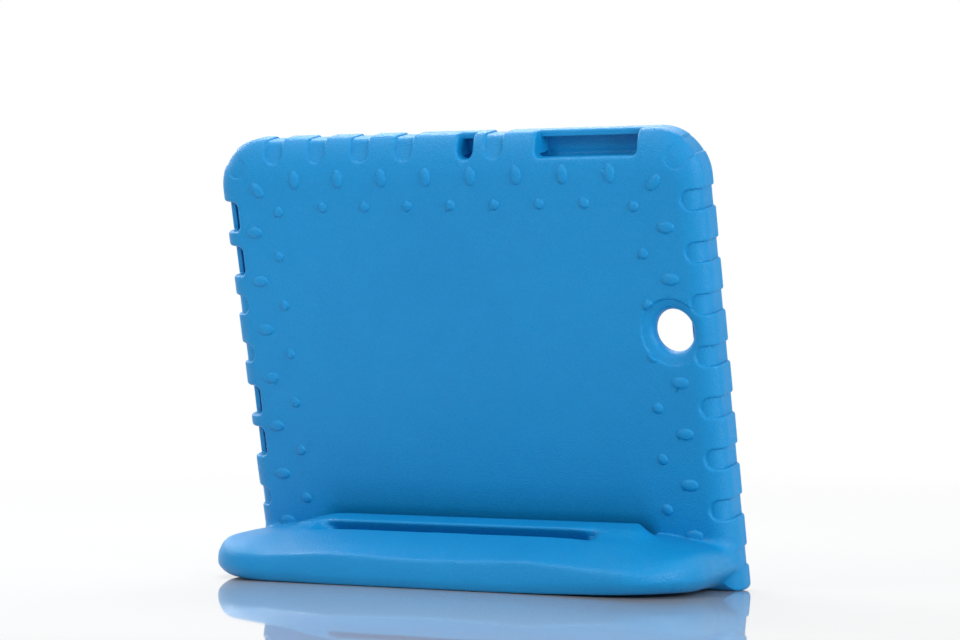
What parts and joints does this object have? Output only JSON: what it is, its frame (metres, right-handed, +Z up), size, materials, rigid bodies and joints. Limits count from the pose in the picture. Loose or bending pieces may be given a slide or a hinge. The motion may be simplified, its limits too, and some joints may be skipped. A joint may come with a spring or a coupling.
{
  "type": "tablet case",
  "caption": "One-piece soft foam tablet case with a pocket, raised bumps, grip notches and a wide carrying handle that doubles as its stand.",
  "frame": {"origin": "middle of the footprint, on the surface that the case stands on", "axes": "+X along the long edge, to the right as seen from the back; +Z up; the back and the handle face -Y"},
  "size_m": [0.266, 0.08, 0.2168],
  "materials": {
    "foam": "satin, fine leather-like grain"
  },
  "bodies": {
    "root": {"tablet_case": "foam"}
  },
  "joints": []
}
